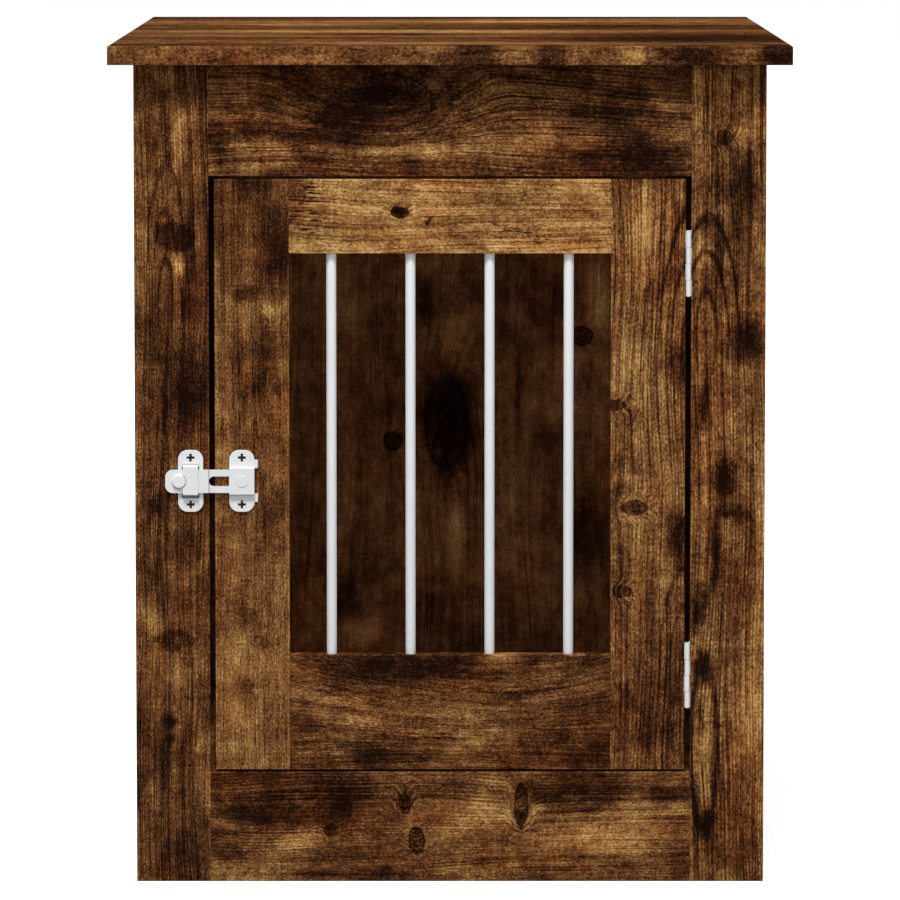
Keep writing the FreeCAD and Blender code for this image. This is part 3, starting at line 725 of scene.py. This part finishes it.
def surface_mesh(name, points, material):
    """Mesh of a grid of points, closed round its second direction, with its first and last rings filled."""
    rings, sides = points.shape[:2]
    index = np.arange(rings * sides).reshape(rings, sides)
    turned = np.roll(index, -1, axis=1)
    quads = np.stack([index[:-1], turned[:-1], turned[1:], index[1:]], axis=-1).reshape(-1, 4)
    faces = quads.tolist() + [index[0, ::-1].tolist(), index[-1].tolist()]
    mesh = bpy.data.meshes.new(name)
    mesh.from_pydata(points.reshape(-1, 3).tolist(), [], faces)
    mesh.polygons.foreach_set("use_smooth", np.arange(len(faces)) < len(quads))
    mesh.materials.append(material)
    mesh.update()
    piece = bpy.data.objects.new(name, mesh)
    bpy.context.scene.collection.objects.link(piece)
    return piece


def rounded_rim(radius, height, rounding, steps=5):
    """Quarter circle from the side of a rod to its top, as (radius, height)."""
    angle = np.linspace(0, np.pi / 2, steps)
    return np.stack([radius - rounding + rounding * np.cos(angle),
                     height - rounding + rounding * np.sin(angle)], axis=-1)


def rod_points(radius, height, rounding, sides, middle):
    """Upright surface of revolution: a side between two eased rims, carried round in even steps."""
    rim = rounded_rim(radius, height, rounding)
    foot = rim[::-1] * (1, -1) + (0, height)
    profile = np.concatenate([foot, rim])
    angle = np.linspace(0, 2 * np.pi, sides, endpoint=False)
    outward = np.stack([np.cos(angle), np.sin(angle), np.zeros(sides)], axis=-1)
    upward = np.array([0.0, 0.0, 1.0])
    return middle + profile[:, 0, None, None] * outward + profile[:, 1, None, None] * upward


class CRATE_OT_boards(bpy.types.Operator):
    """Give every board its own stretch of smoked oak."""

    bl_idname = "crate.boards"
    bl_label = "Boards"

    def execute(self, context):
        for number, node in enumerate(BOARDS):
            dress(node, smoked_oak(node, context.scene.crate_wood, FIRST_SEED + number))
        return {"FINISHED"}


class CRATE_OT_bars(bpy.types.Operator):
    """Make each bar a smooth round rod with eased ends."""

    bl_idname = "crate.bars"
    bl_label = "Bars"

    def execute(self, context):
        steel = context.scene.crate_steel
        coat = powder_coat("bar_coat", steel.bar_coat, steel)
        for node in [node for node in frame["nodes"] if "_bar_" in node]:
            low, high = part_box(node)
            middle = np.array([(low.x + high.x) / 2, (low.y + high.y) / 2, low.z])
            radius = (high.x - low.x) / 2
            points = rod_points(radius, high.z - low.z, steel.bar_round, steel.bar_sides, middle)
            piece = surface_mesh("rod_" + node, points, coat)
            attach(piece, frame["nodes"][node]["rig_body"])
            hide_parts(node)
        return {"FINISHED"}


class CRATE_OT_hinges(bpy.types.Operator):
    """Coat the hinge leaves and pins, and plate their screws."""

    bl_idname = "crate.hinges"
    bl_label = "Hinges"

    def execute(self, context):
        steel = context.scene.crate_steel
        coat = powder_coat("hinge_coat", steel.plate_coat, steel)
        for node in named("_leaf", "_hinge_pin"):
            dress(node, coat)
        for node in named("_hinge_screws"):
            dress(node, plated(node + "_plating", steel.zinc, SCREW_STREAKS, metallic=0.9, roughness=0.3))
        return {"FINISHED"}


class CRATE_OT_latch(bpy.types.Operator):
    """Coat the latch, with painted shade on its undersides and at the bolt's step, and paint shade into the
    recesses of its screws.
    """

    bl_idname = "crate.latch"
    bl_label = "Latch"

    def execute(self, context):
        steel = context.scene.crate_steel
        coat = powder_coat("latch_coat", steel.plate_coat, steel, downward_shade=steel.underside_shade)
        for node in ("latch_base", "latch_keeper", "latch_knob"):
            dress(node, coat)
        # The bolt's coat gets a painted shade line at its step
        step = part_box("latch_base")[1].x + steel.step_shade_reach
        dress("latch_bolt", powder_coat("bolt_coat", steel.plate_coat, steel, seam=step))
        for node in ("latch_base_screws", "latch_keeper_screws"):
            dress(node, shaded_screw_head(node + "_finish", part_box(node)[0].y, steel))
        return {"FINISHED"}


class CRATE_OT_fittings(bpy.types.Operator):
    """Finish the cam fittings and dowels inside the joints."""

    bl_idname = "crate.fittings"
    bl_label = "Fittings"

    def execute(self, context):
        steel = context.scene.crate_steel
        for node in ("cam_discs", "cam_bolts"):
            dress(node, plated(node + "_plating", steel.zinc, CAM_STREAKS, metallic=0.9, roughness=0.35))
        for node in named("dowels"):
            dress(node, plated(node + "_beech", steel.beech, DOWEL_STREAKS, metallic=0.0, roughness=0.6))
        return {"FINISHED"}


class CRATE_OT_stage(bpy.types.Operator):
    """Set up the camera, the lamps, the pale floor and the white surroundings."""

    bl_idname = "crate.stage"
    bl_label = "Stage"

    def execute(self, context):
        stage = context.scene.crate_stage
        self.camera(context.scene, stage)
        self.floor(stage)
        self.world(context.scene, stage)
        self.lamp("key_softbox", stage.key, stage.key_size, stage.key_place)
        self.lamp("fill_softbox", stage.fill, stage.fill_size, stage.fill_place)
        context.scene.view_settings.view_transform = "Standard"
        return {"FINISHED"}

    def camera(self, scene, stage):
        """Camera in front of the door, looking slightly down."""
        lens = bpy.data.cameras.new("camera")
        lens.lens = stage.lens
        lens.sensor_width = stage.sensor
        camera = bpy.data.objects.new("camera", lens)
        camera.location = (0, cad_low.y - stage.distance, stage.height)
        camera.rotation_euler = (math.pi / 2 - stage.tilt, 0, 0)
        scene.collection.objects.link(camera)
        scene.camera = camera

    def seen_rays(self, paint):
        """One for what the camera sees, directly, in gloss or through glass."""
        path = paint.put("ShaderNodeLightPath").outputs
        seen = paint.math("MAXIMUM", path["Is Camera Ray"], path["Is Glossy Ray"])
        return paint.math("MAXIMUM", seen, path["Is Transmission Ray"])

    def floor(self, stage):
        """Wide floor that keeps faint shadows, lifted to white in the picture."""
        paint = new_paint("studio_floor")
        grain = paint.noise(paint.vector("MULTIPLY", paint.place(), FLOOR_GRAIN), 2.0)
        shaded = [channel * FLOOR_DARK for channel in stage.floor]
        tint = paint.colours(grain, ((0.0, shaded), (1.0, stage.floor)))
        seen = self.seen_rays(paint)
        tint = paint.tinted(seen, (*stage.floor_bounce, 1.0), tint)
        lift = paint.math("MULTIPLY", seen, stage.floor_lift)
        material = paint.surface(Base_Color=tint, Roughness=0.9, Specular_IOR_Level=0.0,
                                 Emission_Color=(1, 1, 1, 1), Emission_Strength=lift)
        reach = stage.floor_reach
        corners = [(-reach, -reach, 0), (reach, -reach, 0), (reach, reach, 0), (-reach, reach, 0)]
        mesh = bpy.data.meshes.new("studio_floor")
        mesh.from_pydata(corners, [], [(0, 1, 2, 3)])
        mesh.materials.append(material)
        floor = bpy.data.objects.new("studio_floor", mesh)
        bpy.context.scene.collection.objects.link(floor)

    def world(self, scene, stage):
        """Even light all round, white where it is seen."""
        paint = Paint(bpy.data.worlds.new("studio"))
        strength = paint.ramp(self.seen_rays(paint), 0.0, 1.0, stage.ambient, 1.0)
        shader = paint.put("ShaderNodeBackground", {"Color": (1, 1, 1, 1), "Strength": strength})
        paint.put("ShaderNodeOutputWorld", {"Surface": shader.outputs[0]})
        scene.world = paint.owner

    def lamp(self, name, watts, size, place):
        """Square soft lamp aimed at the middle of the crate."""
        light = bpy.data.lights.new(name, "AREA")
        light.energy = watts
        light.size = size
        lamp = bpy.data.objects.new(name, light)
        lamp.location = place
        aim = (cad_low + cad_high) / 2 - Vector(place)
        lamp.rotation_euler = aim.to_track_quat("-Z", "Y").to_euler()
        bpy.context.scene.collection.objects.link(lamp)


class CRATE_PT_panel(bpy.types.Panel):
    """Steps of the crate's finish."""

    bl_idname = "CRATE_PT_panel"
    bl_label = "Pet crate"
    bl_space_type = "VIEW_3D"
    bl_region_type = "UI"
    bl_category = "Crate"

    def draw(self, context):
        for operator in OPERATORS:
            self.layout.operator(operator.bl_idname)


GROUPS = {"crate_wood": CrateWood, "crate_steel": CrateSteel, "crate_stage": CrateStage}
OPERATORS = (
    CRATE_OT_boards,
    CRATE_OT_bars,
    CRATE_OT_hinges,
    CRATE_OT_latch,
    CRATE_OT_fittings,
    CRATE_OT_stage,
)


def register():
    for kind in (*GROUPS.values(), *OPERATORS, CRATE_PT_panel):
        bpy.utils.register_class(kind)
    for name, group in GROUPS.items():
        setattr(bpy.types.Scene, name, PointerProperty(type=group))


def unregister():
    for name in GROUPS:
        delattr(bpy.types.Scene, name)
    for kind in (CRATE_PT_panel, *reversed(OPERATORS), *reversed(GROUPS.values())):
        bpy.utils.unregister_class(kind)


def main():
    register()
    bpy.ops.crate.boards()
    bpy.ops.crate.bars()
    bpy.ops.crate.hinges()
    bpy.ops.crate.latch()
    bpy.ops.crate.fittings()
    bpy.ops.crate.stage()


if __name__ == "__main__":
    main()
